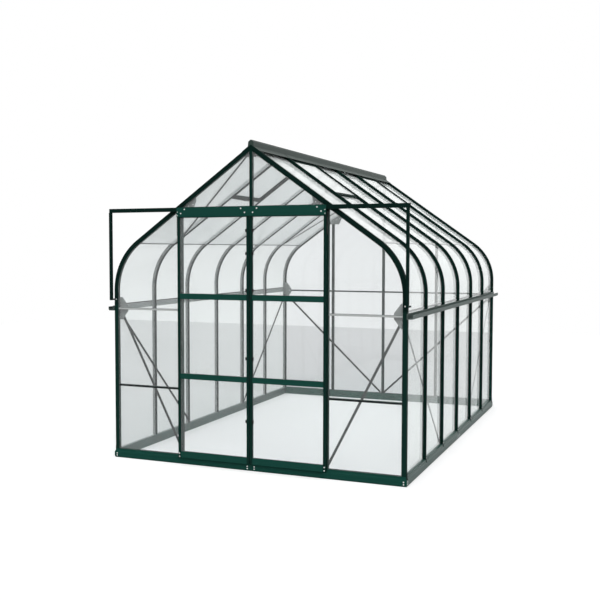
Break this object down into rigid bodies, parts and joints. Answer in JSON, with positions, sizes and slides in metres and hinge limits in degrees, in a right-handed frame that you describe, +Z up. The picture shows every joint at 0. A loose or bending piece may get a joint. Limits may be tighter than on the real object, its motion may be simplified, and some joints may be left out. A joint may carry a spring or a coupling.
{
  "type": "glass greenhouse",
  "caption": "Freestanding glass greenhouse with curved eaves, dark green metal frame, roof vents, side gutters and double sliding doors.",
  "frame": {"origin": "centre of the base frame on the ground", "axes": "+Z up, the door gable faces -Y, the ridge runs along Y, +X to the right seen from the doors"},
  "size_m": [2.62, 3.83, 2.6174],
  "materials": {
    "frame": "dark green powder coat, satin",
    "base_rails": "dark green powder coat, satin",
    "door_frames": "dark green powder coat, satin",
    "door_track": "dark green powder coat, satin",
    "ridge_and_gutters": "grey-green powder coat, satin",
    "braces_and_plates": "grey-green powder coat, satin",
    "hangers": "zinc plated, satin",
    "glass": "clear toughened glass",
    "door_glass": "clear toughened glass"
  },
  "bodies": {
    "frame": {"front_sill": "base_rails", "rear_sill": "base_rails", "left_sill": "base_rails", "right_sill": "base_rails", "corner_posts": "frame", "left_wall_bars": "frame", "right_wall_bars": "frame", "left_eave_bends": "frame", "right_eave_bends": "frame", "left_rafters": "frame", "right_rafters": "frame", "ridge_beam": "frame", "ridge_cap": "ridge_and_gutters", "left_gutter": "ridge_and_gutters", "right_gutter": "ridge_and_gutters", "door_posts": "frame", "door_head": "frame", "front_glazing_bars": "frame", "rear_uprights": "frame", "rear_transoms": "frame", "door_track": "door_track", "head_fascia": "door_track", "track_stays": "door_track", "wall_braces": "braces_and_plates", "roof_braces": "braces_and_plates", "gable_plates": "braces_and_plates", "vent_sills": "frame", "vent_frames": "frame", "vent_glass": "glass", "left_wall_glass": "glass", "right_wall_glass": "glass", "left_bend_glass": "glass", "right_bend_glass": "glass", "left_roof_glass": "glass", "right_roof_glass": "glass", "front_glass": "glass", "rear_glass": "glass"},
    "left_door": {"left_door_stiles": "door_frames", "left_door_rails": "door_frames", "left_door_glass": "door_glass", "left_door_hangers": "hangers"},
    "right_door": {"right_door_stiles": "door_frames", "right_door_rails": "door_frames", "right_door_glass": "door_glass", "right_door_hangers": "hangers"}
  },
  "joints": [
    {"name": "left_door_slide", "type": "slide", "parent": "frame", "child": "left_door", "axis": [-1, 0, 0], "range_m": [0, 0.61]},
    {"name": "right_door_slide", "type": "slide", "parent": "frame", "child": "right_door", "axis": [1, 0, 0], "range_m": [0, 0.61]}
  ]
}
